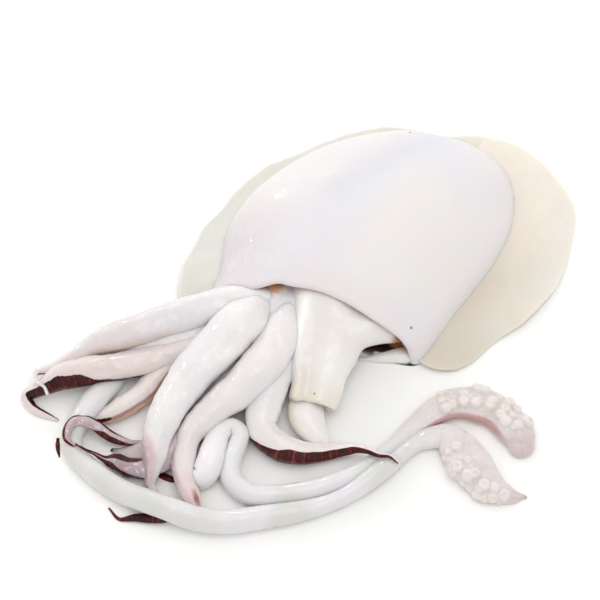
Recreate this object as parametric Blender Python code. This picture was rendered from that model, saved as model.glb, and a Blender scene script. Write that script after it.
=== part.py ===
"""A whole raw cuttlefish, skinned and lying belly side up: the mantle with its fin skirt,
the funnel, the head, eight arms fanned out in front and two feeding tentacles with clubs.

The animal is one piece of flesh, so it is one solid. It stands on its own flat underside at
height 0, with the mantle's axis along +Y and the tail at the +Y end. The origin is the middle
of the solid's outer box, at the height of the surface it lies on.
"""

import bmesh
import bpy
import numpy as np

# All sizes below are in millimetres.
MM = 0.001

# The mantle: a flattened dome, open at the front.
MANTLE_HALF_WIDTH = 62.0
MANTLE_FRONT_HALF_WIDTH = 57.0
MANTLE_HEIGHT = 34.0
MANTLE_RIM_HEIGHT = 25.5
MANTLE_WIDEST_Y = 35.0
MANTLE_TAIL_Y = 129.0
MANTLE_MID_X = -22.0
MANTLE_TAIL_X = -1.0
MANTLE_SIDES = 36

# Its front rim runs further forward on the left than on the right, with a smooth step
# between, and the floor of the mantle reaches out under the head.
RIM_LEFT_Y = -13.5
RIM_RIGHT_Y = 6.5
RIM_STEP_X = -31.0
RIM_STEP_WIDTH = 20.0
FLOOR_LEAD = 15.0
LIP_THICKNESS = 4.5
CAVITY_DEPTH = 22.0
CAVITY_FLOOR = 4.0

# The fin: a thin skirt round the mantle, narrow on the left and wide on the right. Its edge
# is given by bearings in degrees from a middle point, and how far out it lies there.
FIN_MIDDLE = (-20.0, 40.0)
FIN_EDGE = (
    (-34, 60),
    (-28, 73),
    (-19, 81),
    (-6, 83),
    (6, 90),
    (20, 100),
    (34, 108.5),
    (46, 115.5),
    (56, 114),
    (68, 110),
    (78, 100.5),
    (88, 89.5),
    (104, 83),
    (122, 75),
    (146, 70),
    (170, 71),
    (188, 74),
    (204, 81),
    (218, 88),
    (229, 90),
    (238, 80),
)
FIN_OVERLAP = 16.0
FIN_STEP = 7.0
FIN_THICKNESS = 3.2
FIN_EDGE_THICKNESS = 1.4
FIN_WAVES = 7
FIN_WAVE_HEIGHT = 1.2

# Every limb has sections of so many sides, so far apart. What lies on the surface
# reaches a little below it, and is cut flat there.
SIDES = 10
RING_STEP = 6.5
SINK = 0.7

# Routes: across, along, height of the underside above the surface, half-width.
HEAD = (
    (-20, 30, 3, 20),
    (-27, 6, 2, 27),
    (-31, -12, 0, 28),
    (-32, -28, 0, 22),
    (-34, -42, 0, 11),
)
FUNNEL = (
    (-10, 18, 5, 25),
    (-5, -3, 5.5, 22),
    (-1, -20, 5, 17.5),
    (3, -33, 4, 14.5),
    (7, -45, 3, 12),
    (9, -50, 2.5, 11),
)
FUNNEL_LOBE = (
    (1, -30, 0, 8),
    (5, -42, 0, 11.5),
    (10, -50, 0, 10.5),
    (16, -55, 0, 7.5),
    (21, -59, 0, 3.5),
)
ARMS = {
    "outer_left": (
        (-25, -18, 12, 7.3),
        (-50, -21, 9.5, 8.3),
        (-69, -42, 4.5, 8.8),
        (-87, -60, 4, 6.6),
        (-103, -78, 4, 4.1),
        (-112, -95, 4, 2.5),
        (-115, -102, 3, 1.8),
        (-110, -106, 3, 1.2),
    ),
    "second_left": (
        (-28, -18, 5, 5.9),
        (-54, -46, 0, 6.8),
        (-75, -68, 0, 7.3),
        (-93, -84, 0, 7.0),
        (-107, -99, 0, 5.2),
        (-114, -109, 0, 2.9),
        (-112, -114, 0.2, 1.9),
        (-104, -115, 0, 1.6),
        (-95, -115, 0, 1.0),
    ),
    "third_left": (
        (-29, -21, 5, 4.9),
        (-53, -52, 1, 5.9),
        (-66, -78, 0, 5.8),
        (-71, -94, 0, 5.3),
        (-79, -105, 0, 3.1),
        (-86, -111, 0, 1.3),
    ),
    "fourth_left": (
        (-28, -28, 4, 4.4),
        (-37, -60, 0, 5.0),
        (-41, -94, 0, 5.7),
        (-47, -106, 0, 5.2),
        (-58, -109, 0, 3.3),
        (-71, -110, 0, 2.4),
        (-82, -111, 0, 1.9),
        (-85, -117, 0, 1.5),
        (-82, -123, 0, 1.4),
        (-85, -127, 0, 1.6),
        (-88, -123, 0, 1.4),
    ),
    "inner_left": (
        (-24, -29, 4, 4.4),
        (-32, -70, 0, 5.1),
        (-34, -103, 0, 5.7),
        (-43, -116, 0, 5.0),
        (-56, -120, 0, 3.2),
        (-66, -121, 0, 1.4),
        (-75, -121, 0, 0.9),
    ),
    "long_middle": (
        (-27, -14, 8, 9.7),
        (-38, -34, 9, 12.0),
        (-45, -61, 5, 10.8),
        (-49, -82, 3, 9.3),
        (-40, -105, 2, 6.6),
        (-31, -122, 0, 3.7),
        (-27, -131, 0, 3.0),
        (-33, -138, 0, 2.0),
        (-44, -141, 0, 1.0),
    ),
    "inner_middle": (
        (-24, -18, 6, 8.8),
        (-21, -31, 7, 10.1),
        (-23, -50, 5, 9.8),
        (-30, -73, 4, 8.1),
        (-32, -89, 3, 6.9),
        (-28, -107, 3, 4.9),
        (-18, -116, 3, 3.9),
        (-9, -118, 4, 1.4),
    ),
    "right": (
        (-20, -26, 4, 7.3),
        (-17, -42, 3, 8.2),
        (-13, -60, 1, 8.1),
        (-2, -73, 0, 7.2),
        (10, -74, 0, 7.2),
        (23, -64, 0, 5.2),
        (34, -53, 0, 2.8),
        (47, -49, 0, 1.5),
        (56, -46, 0, 0.8),
    ),
}
TENTACLES = {
    "outer": (
        (-30, -24, 5, 4.4),
        (-55, -53, 1, 5.2),
        (-76, -80, 0, 5.3),
        (-85, -107, 0, 5.3),
        (-80, -124, 0, 5.3),
        (-65, -130, 0, 5.2),
        (-45, -131, 1, 5.6),
        (-25, -128, 4, 5.7),
        (-2, -121, 0.5, 6.0),
        (20, -104, 0, 5.7),
        (42, -80, 0, 4.3),
        (56, -48, 0, 4.3),
        (66, -24, 0, 3.8),
        (73, -21, 0, 4.2),
    ),
    "inner": (
        (-25, -27, 4, 4.4),
        (-32, -60, 0, 4.9),
        (-37, -82, 0, 5.0),
        (-34, -102, 0, 5.2),
        (-24, -111, 0, 5.4),
        (-17, -104, 0, 5.7),
        (-23, -89, 1.5, 5.2),
        (-24, -80, 3, 4.8),
        (-18, -74, 4, 4.6),
        (-13, -81, 2, 4.4),
        (-9, -91, 0, 4.8),
        (4, -97, 0, 5.2),
        (18, -92, 0, 5.2),
        (34, -76, 0, 4.7),
        (46, -56, 0, 4.0),
        (51, -36, 0, 3.1),
        (54, -19, 0, 2.9),
        (60, -10, 0, 3.4),
    ),
}
CLUBS = {
    "outer": (
        (66, -21, 0, 3.6),
        (75, -23, 0, 7.0),
        (86, -30, 0, 9.8),
        (97, -35, 0, 8.0),
        (107, -35, 0, 4.5),
        (115, -31, 0, 1.2),
    ),
    "inner": (
        (54, -18, 0, 2.9),
        (60, -8, 0, 4.6),
        (73, 0, 0, 7.6),
        (88, 0, 0, 8.6),
        (100, -5, 0, 6.8),
        (108, -9, 0, 2.0),
    ),
}
CLUB_FLATNESS = 0.55
SUCKER_RADIUS = 2.0
SUCKER_ROWS = (-0.42, 0.42)


def clear_scene():
    """Removes whatever the file opened with."""
    for thing in list(bpy.data.objects):
        bpy.data.objects.remove(thing, do_unlink=True)


def flesh():
    """Wet, pale flesh."""
    material = bpy.data.materials.new("flesh")
    material.use_nodes = True
    shader = material.node_tree.nodes["Principled BSDF"]
    shader.inputs["Base Color"].default_value = (0.84, 0.79, 0.79, 1.0)
    shader.inputs["Roughness"].default_value = 0.3
    shader.inputs["Metallic"].default_value = 0.0
    return material


def smooth_route(points, step):
    """A smooth curve through the points, with a sample about every step of its length.

    Each span is a cubic Hermite curve measured by its chord, so uneven spacing
    makes no loops. The slope at a point weighs its two chords by their lengths.
    """
    knots = np.array(points, dtype=float)
    chords = np.linalg.norm(np.diff(knots[:, :3], axis=0), axis=1)
    slopes = np.diff(knots, axis=0) / chords[:, None]
    before, after = chords[:-1, None], chords[1:, None]
    inner = (slopes[:-1] * after + slopes[1:] * before) / (before + after)
    slopes = np.vstack([slopes[:1], inner, slopes[-1:]])
    samples = []
    for i, chord in enumerate(chords):
        count = max(2, round(chord / step))
        t = np.linspace(0.0, 1.0, count, endpoint=False)[:, None]
        samples.append(
            (2 * t**3 - 3 * t**2 + 1) * knots[i]
            + (t**3 - 2 * t**2 + t) * chord * slopes[i]
            + (3 * t**2 - 2 * t**3) * knots[i + 1]
            + (t**3 - t**2) * chord * slopes[i + 1]
        )
    return np.vstack(samples + [knots[-1:]])


def closed_rings(name, rings):
    """A closed mesh over rings of equal count, each end shut by a point at its middle."""
    rings = np.asarray(rings)
    count, sides = rings.shape[:2]
    points = np.vstack([rings.reshape(-1, 3), rings[0].mean(axis=0), rings[-1].mean(axis=0)])
    start, end = count * sides, count * sides + 1
    faces = []
    for i in range(count - 1):
        for j in range(sides):
            k = (j + 1) % sides
            faces.append((i * sides + j, i * sides + k, (i + 1) * sides + k, (i + 1) * sides + j))
    last = (count - 1) * sides
    for j in range(sides):
        k = (j + 1) % sides
        faces.append((start, k, j))
        faces.append((end, last + j, last + k))
    mesh = bpy.data.meshes.new(name)
    mesh.from_pydata((points * MM).tolist(), [], faces)
    shape = bmesh.new()
    shape.from_mesh(mesh)
    bmesh.ops.triangulate(shape, faces=shape.faces[:])
    bmesh.ops.recalc_face_normals(shape, faces=shape.faces[:])
    shape.to_mesh(mesh)
    shape.free()
    return bpy.data.objects.new(name, mesh)


def section_frames(points, flatness, step):
    """A limb's sampled middle line and half-widths, with the side and up of its sections."""
    path = smooth_route(points, step)
    half = np.maximum(path[:, 3], 0.6)
    middle = path[:, :3].copy()
    middle[:, 2] += half * flatness - SINK
    along = np.gradient(middle, axis=0)
    along /= np.linalg.norm(along, axis=1)[:, None]
    side = np.cross(along, (0.0, 0.0, 1.0))
    side /= np.linalg.norm(side, axis=1)[:, None]
    return middle, half, along, side, np.cross(side, along)


def limb(name, points, flatness=0.92, sides=SIDES, step=RING_STEP):
    """A limb along its route, its section an ellipse that is flatness times as tall as wide."""
    middle, half, along, side, up = section_frames(points, flatness, step)
    turn = np.linspace(0, 2 * np.pi, sides, endpoint=False)[None, :, None]
    ring = np.cos(turn) * side[:, None] + flatness * np.sin(turn) * up[:, None]
    rings = middle[:, None] + half[:, None, None] * ring
    tip = middle[-1] + 0.45 * half[-1] * along[-1] + 0.5 * (rings[-1] - middle[-1])
    return closed_rings(name, np.concatenate([rings, tip[None]]))


def mantle_shares(y):
    """How far a place lies from the widest one towards the tail, and towards the rim."""
    back = (y - MANTLE_WIDEST_Y) / (MANTLE_TAIL_Y - MANTLE_WIDEST_Y)
    front = (MANTLE_WIDEST_Y - y) / (MANTLE_WIDEST_Y - RIM_LEFT_Y)
    return np.clip(back, 0, 1), np.clip(front, 0, 1)


def mantle_middle(y):
    """Across-place of the mantle's axis, which bends to the right towards the tail."""
    back, _ = mantle_shares(y)
    return MANTLE_MID_X + (MANTLE_TAIL_X - MANTLE_MID_X) * back**1.3


def mantle_half_width(y):
    """A quarter ellipse behind the widest place, and a slight taper in front of it."""
    back, front = mantle_shares(y)
    width = MANTLE_HALF_WIDTH * np.sqrt(1 - back**2)
    return width - (MANTLE_HALF_WIDTH - MANTLE_FRONT_HALF_WIDTH) * front**2


def mantle_height(y):
    """Rises from the rim to the middle, then falls as a quarter of a superellipse."""
    back, front = mantle_shares(y)
    height = MANTLE_HEIGHT * (1 - back**2.3) ** 0.55
    return height - (MANTLE_HEIGHT - MANTLE_RIM_HEIGHT) * front**1.5


def mantle_rim(x):
    """How far forward the rim lies: a smooth step from its left part to its right part."""
    step = np.tanh((x - RIM_STEP_X) / RIM_STEP_WIDTH)
    return (RIM_LEFT_Y + RIM_RIGHT_Y) / 2 + step * (RIM_RIGHT_Y - RIM_LEFT_Y) / 2


def mantle_ring(share, inset=0.0):
    """The mantle's section at a share of the way from rim to tail, or the cavity's inside it.

    The upper half is a superellipse and the lower half is flat. Each point of the
    section starts from its own place on the rim, so the front ones follow the rim.
    """
    turn = np.linspace(0, 2 * np.pi, MANTLE_SIDES, endpoint=False)
    across = np.sign(np.cos(turn)) * np.abs(np.cos(turn)) ** 0.85
    rise = np.sin(turn)
    rim = mantle_rim(MANTLE_MID_X + MANTLE_FRONT_HALF_WIDTH * across)
    rim = rim + FLOOR_LEAD * np.minimum(rise, 0)
    y = rim + share * (MANTLE_TAIL_Y - rim)
    width = np.maximum(mantle_half_width(y) - inset, 0.5)
    height = np.maximum(mantle_height(y) - inset, 0.5)
    floor = CAVITY_FLOOR if inset else -2 * SINK
    z = floor + (height - floor) * np.maximum(rise, 0) ** 0.9 + 0.6 * np.minimum(rise, 0)
    return np.stack([mantle_middle(y) + width * across, y, z], axis=1)


def mantle():
    """The dome from its tail forward to the lip, and back in to the end of the cavity."""
    length = MANTLE_TAIL_Y - RIM_RIGHT_Y
    gaps = (0.004, 0.02, 0.05, 0.1, 0.16, 0.24, 0.33, 0.43, 0.54, 0.65, 0.76, 0.86, 0.94, 0.985)
    rings = [mantle_ring(1 - gap) for gap in gaps]
    rings.append(mantle_ring(0.0, inset=LIP_THICKNESS / 2))
    for depth in (LIP_THICKNESS / 2, CAVITY_DEPTH / 2, CAVITY_DEPTH):
        rings.append(mantle_ring(depth / length, inset=LIP_THICKNESS))
    return closed_rings("mantle", rings)


def outline_reach(centre, direction):
    """How far the mantle's outline lies from a point inside it, by halving."""
    near, far = 0.0, 200.0
    for _ in range(30):
        reach = (near + far) / 2
        x, y = centre + direction * reach
        inside = RIM_LEFT_Y < y < MANTLE_TAIL_Y
        inside = inside and abs(x - mantle_middle(y)) < mantle_half_width(y)
        near, far = (reach, far) if inside else (near, reach)
    return near


def fin():
    """The skirt: a closed wavy band from under the dome out to its thin edge."""
    edge = smooth_route([(bearing, reach, 0, 0) for bearing, reach in FIN_EDGE], FIN_STEP)
    centre = np.array(FIN_MIDDLE)
    rings = []
    for bearing, reach in zip(np.radians(edge[:, 0]), edge[:, 1]):
        direction = np.array([np.cos(bearing), np.sin(bearing)])
        inner = centre + direction * (outline_reach(centre, direction) - FIN_OVERLAP)
        outer = centre + direction * reach
        middle = (inner + 2 * outer) / 3
        wave = FIN_WAVE_HEIGHT * (1 + np.sin(FIN_WAVES * bearing + 0.6 * np.sin(3 * bearing)))
        rings.append(
            (
                (*inner, -SINK),
                (*middle, -SINK),
                (*outer, wave - SINK / 2),
                (*outer, wave - SINK / 2 + FIN_EDGE_THICKNESS),
                (*middle, FIN_THICKNESS + 0.4 * wave),
                (*inner, 2 * FIN_THICKNESS),
            )
        )
    return closed_rings("fin", rings)


def club_suckers(name, points):
    """Knobs in two staggered rows on a club's upper face, where its suckers are."""
    spacing = 2.5 * SUCKER_RADIUS
    middle, half, along, side, up = section_frames(points, CLUB_FLATNESS, spacing)
    knobs = []
    for i in range(2, len(middle) - 2):
        for row, place in enumerate(SUCKER_ROWS):
            rise = CLUB_FLATNESS * np.sqrt(1 - place**2) * half[i] - SUCKER_RADIUS / 3
            spot = middle[i] + place * half[i] * side[i] + rise * up[i] + row * spacing / 2 * along[i]
            shape = bmesh.new()
            bmesh.ops.create_icosphere(shape, subdivisions=1, radius=SUCKER_RADIUS * MM)
            bmesh.ops.translate(shape, verts=shape.verts, vec=spot * MM)
            mesh = bpy.data.meshes.new(f"{name}_{i}_{row}")
            shape.to_mesh(mesh)
            shape.free()
            knobs.append(bpy.data.objects.new(mesh.name, mesh))
    return knobs


def fused(base, pieces, material):
    """The base and the pieces as one solid, cut flat at the surface it lies on."""
    group = bpy.data.collections.new("pieces")
    bpy.context.scene.collection.children.link(group)
    for piece in pieces:
        group.objects.link(piece)
    bpy.context.scene.collection.objects.link(base)
    join = base.modifiers.new("join", "BOOLEAN")
    join.operation = "UNION"
    join.operand_type = "COLLECTION"
    join.collection = group
    join.solver = "EXACT"

    bpy.ops.mesh.primitive_cube_add(size=1.0, location=(0, 0, -0.05))
    ground = bpy.context.object
    ground.scale = (1.0, 1.0, 0.1)
    cut = base.modifiers.new("flat", "BOOLEAN")
    cut.operation = "DIFFERENCE"
    cut.object = ground
    cut.solver = "EXACT"

    whole = bpy.data.meshes.new_from_object(base.evaluated_get(bpy.context.evaluated_depsgraph_get()))
    for thing in [ground, base, *pieces]:
        bpy.data.objects.remove(thing, do_unlink=True)
    bpy.data.collections.remove(group)
    keep_largest_shell(whole)
    whole.name = "cuttlefish"
    whole.materials.clear()
    whole.materials.append(material)
    whole.shade_smooth()
    whole.set_sharp_from_angle(angle=np.radians(60))
    body = bpy.data.objects.new("cuttlefish", whole)
    bpy.context.scene.collection.objects.link(body)
    return body


def keep_largest_shell(mesh):
    """Fills sealed hollows and drops scraps, which are the smaller separate shells."""
    shape = bmesh.new()
    shape.from_mesh(mesh)
    left = set(shape.verts)
    shells = []
    while left:
        grown = {left.pop()}
        edge = set(grown)
        while edge:
            edge = {e.other_vert(v) for v in edge for e in v.link_edges} - grown
            grown |= edge
        left -= grown
        shells.append(grown)
    largest = max(shells, key=len)
    for shell in shells:
        if shell is not largest:
            bmesh.ops.delete(shape, geom=list(shell), context="VERTS")
    shape.to_mesh(mesh)
    shape.free()


def main():
    clear_scene()
    pieces = [
        fin(),
        limb("head", HEAD, flatness=0.42, sides=16),
        limb("funnel", FUNNEL, flatness=0.46, sides=16),
        limb("funnel_lobe", FUNNEL_LOBE, flatness=0.5),
    ]
    pieces += [limb(f"arm_{name}", route) for name, route in ARMS.items()]
    pieces += [limb(f"tentacle_{name}", route) for name, route in TENTACLES.items()]
    for name, route in CLUBS.items():
        pieces.append(limb(f"club_{name}", route, flatness=CLUB_FLATNESS))
        pieces += club_suckers(f"sucker_{name}", route)
    fused(mantle(), pieces, flesh())


main()
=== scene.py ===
# %% [markdown]
# # A raw cuttlefish, skinned and laid belly side up
#
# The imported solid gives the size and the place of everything. This script dresses it: each part
# of the animal becomes a fine surface worked out with numpy, with wet, pale flesh on it. The
# solid stays in the file for collision, and the pieces below stand for it in the picture.

import bmesh
import bpy
import numpy as np
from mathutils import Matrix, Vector


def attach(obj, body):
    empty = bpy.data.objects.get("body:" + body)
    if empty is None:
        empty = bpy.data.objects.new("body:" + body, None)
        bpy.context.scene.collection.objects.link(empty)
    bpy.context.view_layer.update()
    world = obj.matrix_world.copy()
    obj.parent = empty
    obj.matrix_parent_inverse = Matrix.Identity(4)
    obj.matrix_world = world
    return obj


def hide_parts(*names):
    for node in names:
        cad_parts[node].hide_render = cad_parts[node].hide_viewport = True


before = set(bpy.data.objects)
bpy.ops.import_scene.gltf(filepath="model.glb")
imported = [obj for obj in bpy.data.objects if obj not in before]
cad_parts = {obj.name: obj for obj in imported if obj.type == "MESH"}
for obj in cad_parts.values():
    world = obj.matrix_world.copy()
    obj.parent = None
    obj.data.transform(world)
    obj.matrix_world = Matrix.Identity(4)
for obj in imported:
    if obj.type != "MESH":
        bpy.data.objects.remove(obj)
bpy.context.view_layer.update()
MM = 0.001

# %% [markdown]
# ## The camera
#
# The animal was seen from its front right, from well above, through a long lens that hardly
# narrows what lies further off. A camera can be placed by hand, but a bearing, a height angle
# and a distance say the same in three numbers, and are easy to change.

# %% The camera
VIEW_BEARING = 32.0
VIEW_HEIGHT = 60.0
VIEW_DISTANCE = 1.0
VIEW_CENTRE = Vector((-0.031, 0.0051, 0.0))

bearing, height = np.radians(VIEW_BEARING), np.radians(VIEW_HEIGHT)
towards_camera = Vector(
    (np.sin(bearing) * np.cos(height), -np.cos(bearing) * np.cos(height), np.sin(height))
)
camera = bpy.data.objects.new("camera", bpy.data.cameras.new("camera"))
camera.data.lens = 120
camera.data.sensor_width = 36
camera.data.clip_start = 0.01
camera.location = VIEW_CENTRE + VIEW_DISTANCE * towards_camera
camera.rotation_mode = "QUATERNION"
camera.rotation_quaternion = (-towards_camera).to_track_quat("-Z", "Y")
bpy.context.scene.collection.objects.link(camera)
bpy.context.scene.camera = camera
print("camera at", [round(x, 3) for x in camera.location])

# %% [markdown]
# ## Light and floor
#
# Wet white flesh needs two kinds of light. A bright, even sky keeps the shadows pale, and a broad
# lamp overhead gives the forms their soft shade. Three small lamps, low and far off to the left,
# make the small glints that say wet. One large lamp would blur them into a sheen.

# %% The sky and the lamps
world = bpy.data.worlds.new("sky")
world.use_nodes = True
sky = world.node_tree.nodes["Background"]
sky.inputs["Color"].default_value = (1.0, 0.995, 0.985, 1.0)
sky.inputs["Strength"].default_value = 0.95
bpy.context.scene.world = world
bpy.context.scene.view_settings.view_transform = "Standard"


def lamp(name, place, size, watts):
    """A square lamp at a place in metres, turned towards the middle of the view."""
    data = bpy.data.lights.new(name, "AREA")
    data.shape = "SQUARE"
    data.size = size
    data.energy = watts
    thing = bpy.data.objects.new(name, data)
    thing.location = place
    thing.rotation_mode = "QUATERNION"
    thing.rotation_quaternion = (VIEW_CENTRE - Vector(place)).to_track_quat("-Z", "Y")
    bpy.context.scene.collection.objects.link(thing)


lamp("broad_lamp", (0.15, 0.05, 1.0), 0.6, 1.8)
lamp("side_glint", (-0.84, 0.5, 0.31), 0.1, 1.0)
lamp("back_glint", (-0.57, 0.7, 0.46), 0.1, 0.5)
lamp("front_glint", (-0.85, 0.0, 0.5), 0.1, 0.6)

# %% [markdown]
# ## Surfaces from grids
#
# Every piece is a closed skin over a grid of points: rows run along it, columns run round it,
# and a point at each end closes it. Numpy works on the whole grid at once, so one formula
# shapes thousands of points. Numbers kept with the points, called tones here, later tell the
# materials where the flesh is stained or blushed.

# %% A closed skin over a grid of points
def skin_mesh(name, rows):
    """Rows of points in millimetres, joined round each row and between rows.

    Each end closes on the mean of its row. If the volume, a sixth of the sum of
    a . (b x c) over the triangles, comes out negative, every face is turned.
    """
    count, around = rows.shape[:2]
    ends = np.stack([rows[0].mean(axis=0), rows[-1].mean(axis=0)])
    points = np.concatenate([rows.reshape(-1, 3), ends]) * MM
    i, j = np.mgrid[0 : count - 1, 0:around]
    k = (j + 1) % around
    quads = np.stack([i * around + j, (i + 1) * around + j, (i + 1) * around + k, i * around + k], -1)
    quads = quads.reshape(-1, 4)
    j = np.arange(around)
    k = (j + 1) % around
    last = (count - 1) * around
    start_fan = np.stack([np.full(around, count * around), j, k], -1)
    end_fan = np.stack([np.full(around, count * around + 1), last + k, last + j], -1)
    fans = np.concatenate([start_fan, end_fan])
    triangles = np.concatenate([quads[:, [0, 1, 2]], quads[:, [0, 2, 3]], fans])
    a, b, c = (points[triangles[:, corner]] for corner in range(3))
    volume = np.einsum("ij,ij->i", a, np.cross(b, c)).sum() / 6
    if volume < 0:
        quads, fans = quads[:, ::-1], fans[:, ::-1]
    corners = np.concatenate([quads.ravel(), fans.ravel()]).astype(np.int32)
    sizes = np.concatenate([np.full(len(quads), 4), np.full(len(fans), 3)]).astype(np.int32)
    mesh = bpy.data.meshes.new(name)
    mesh.vertices.add(len(points))
    mesh.vertices.foreach_set("co", points.astype(np.float32).ravel())
    mesh.loops.add(len(corners))
    mesh.loops.foreach_set("vertex_index", corners)
    mesh.polygons.add(len(sizes))
    mesh.polygons.foreach_set("loop_start", (np.cumsum(sizes) - sizes).astype(np.int32))
    mesh.polygons.foreach_set("loop_total", sizes)
    mesh.update(calc_edges=True)
    mesh.validate()
    mesh.polygons.foreach_set("use_smooth", np.ones(len(sizes), bool))
    return mesh


def settled(name, mesh, tones):
    """An object for the mesh, with its tones, one number for each point, told to the frame."""
    for tone, values in tones.items():
        mesh.attributes.new(tone, "FLOAT", "POINT").data.foreach_set("value", values.astype(np.float32))
    piece = bpy.data.objects.new(name, mesh)
    bpy.context.scene.collection.objects.link(piece)
    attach(piece, "root")
    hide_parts("cuttlefish")
    print(f"{name}: {len(mesh.polygons)} faces")
    return piece


def closed_skin(name, rows, tones=None):
    """A piece from rows of points and from tones given as grids or as what spreads over one."""
    spread = {}
    for tone, values in (tones or {}).items():
        values = np.broadcast_to(values, rows.shape[:2])
        spread[tone] = np.concatenate([values.ravel(), [values[0].mean(), values[-1].mean()]])
    return settled(name, skin_mesh(name, rows), spread)


# %% [markdown]
# Grown forms have no hard edges and are never quite even. A step that eases in and out, a bell
# and random swellings give both. Sculpting by hand would too, but could not be made again.

# %% Small helpers on whole arrays
def smooth_step(x, low, high):
    """0 below low and 1 above high, with 3t^2 - 2t^3 between them."""
    t = np.clip((x - low) / (high - low), 0, 1)
    return t * t * (3 - 2 * t)


def bump_at(x, middle, width):
    """A bell: e to the power of minus the square of the distance over the width."""
    return np.exp(-(((x - middle) / width) ** 2))


def lumps(points, size, seed):
    """Smooth random swellings from -1 to 1, about one size in millimetres across.

    A table gives each corner of a cubic lattice a random value, and a point mixes
    the eight corners round it, each weighed by smooth steps along the three axes.
    """
    table = np.random.default_rng(seed).uniform(-1, 1, 4099)
    cell = np.asarray(points) / size
    base = np.floor(cell).astype(np.int64)
    share = cell - base
    share = share * share * (3 - 2 * share)
    total = 0.0
    for corner in np.ndindex(2, 2, 2):
        weight = np.prod(np.where(np.array(corner), share, 1 - share), axis=-1)
        index = (base + corner) @ np.array([1543, 389, 2729])
        total = total + weight * table[index % 4099]
    return total


def highest_near(points, places, within=1.2):
    """For each (x, y), the highest of the points at most that far away in plan, turned to metres."""
    points = np.asarray(points).reshape(-1, 3)
    found = []
    for place in places:
        near = points[np.linalg.norm(points[:, :2] - place, axis=1) < within]
        found.append(tuple(near[near[:, 2].argmax()] * MM))
    return found


def outward(rows):
    """Unit vectors square to a grid's surface: the cross product of its two directions."""
    along = np.gradient(rows, axis=0)
    padded = np.concatenate([rows[:, -1:], rows, rows[:, :1]], axis=1)
    around = np.gradient(padded, axis=1)[:, 1:-1]
    normal = np.cross(along, around)
    normal /= np.maximum(np.linalg.norm(normal, axis=2, keepdims=True), 1e-9)
    away = rows - rows.mean(axis=1, keepdims=True)
    return normal * np.sign((normal * away).sum())


def on_floor(rows, height=0.03):
    """Nothing reaches through the floor: whatever lies below the height is pressed flat."""
    rows = rows.copy()
    rows[..., 2] = np.maximum(rows[..., 2], height)
    return rows


# %% [markdown]
# ## The mantle
#
# The mantle is the animal's body bag: a flattened dome of firm muscle, open at the front, with
# a thick soft lip. It could be sculpted from a ball, but its outline, height and rim are each a
# simple curve, so a grid of shares from rim to tail and angles round the body gives it exactly.
# The rim runs further forward on the left, and the lip rolls over into a shallow cavity.

# %% The mantle's curves
MANTLE_HALF_WIDTH = 62.0
MANTLE_FRONT_HALF_WIDTH = 57.0
MANTLE_HEIGHT = 34.0
MANTLE_RIM_HEIGHT = 25.5
MANTLE_WIDEST_Y = 35.0
MANTLE_TAIL_Y = 130.5
MANTLE_MID_X = -22.0
MANTLE_TAIL_X = -1.0
RIM_LEFT_Y = -16.9
RIM_MIDDLE_Y = 4.9
RIM_RIGHT_Y = 7.2
RIM_STEP_X = -38.0
RIM_STEP_WIDTH = 19.0
FLOOR_LEAD = 7.5
LIP_RADIUS = 1.9
CAVITY_DEPTH = 30.0
FRONT_TUCK = 9.0
LOWER_LIP_EXTRA = 1.1
CAVITY_FLOOR = 4.0
TOP_COLUMNS, FLOOR_COLUMNS = 190, 50
BACK_ROWS, LIP_ROWS, CAVITY_ROWS = 170, 13, 23


def mantle_shares(y):
    """How far a place lies from the widest one towards the tail, and towards the rim."""
    back = (y - MANTLE_WIDEST_Y) / (MANTLE_TAIL_Y - MANTLE_WIDEST_Y)
    front = (MANTLE_WIDEST_Y - y) / (MANTLE_WIDEST_Y - RIM_LEFT_Y)
    return np.clip(back, 0, 1), np.clip(front, 0, 1)


def mantle_middle(y):
    """Across-place of the mantle's axis, which bends to the right towards the tail."""
    back, _ = mantle_shares(y)
    return MANTLE_MID_X + (MANTLE_TAIL_X - MANTLE_MID_X) * back**1.3


def mantle_half_width(y):
    """A quarter ellipse behind the widest place, and a slight taper in front of it."""
    back, front = mantle_shares(y)
    width = MANTLE_HALF_WIDTH * (1 - back**2.25) ** 0.5
    return width - (MANTLE_HALF_WIDTH - MANTLE_FRONT_HALF_WIDTH) * front**2


def mantle_height(y):
    """Rises from the rim to the middle, then falls as a quarter of a superellipse."""
    back, front = mantle_shares(y)
    height = MANTLE_HEIGHT * (1 - back**2.3) ** 0.55
    return height - (MANTLE_HEIGHT - MANTLE_RIM_HEIGHT) * front**1.5


def mantle_rim(x):
    """How far forward the rim lies: a smooth step from left to middle, and a smaller one to the right.

    A short notch beside the funnel leaves the small gap there, where the head is painted brown as shade.
    """
    step = np.tanh((x - RIM_STEP_X) / RIM_STEP_WIDTH)
    rim = (RIM_LEFT_Y + RIM_MIDDLE_Y) / 2 + step * (RIM_MIDDLE_Y - RIM_LEFT_Y) / 2
    return rim + (RIM_RIGHT_Y - RIM_MIDDLE_Y) * smooth_step(x, 10, 34) + 2.5 * bump_at(x, -38, 6)


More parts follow.
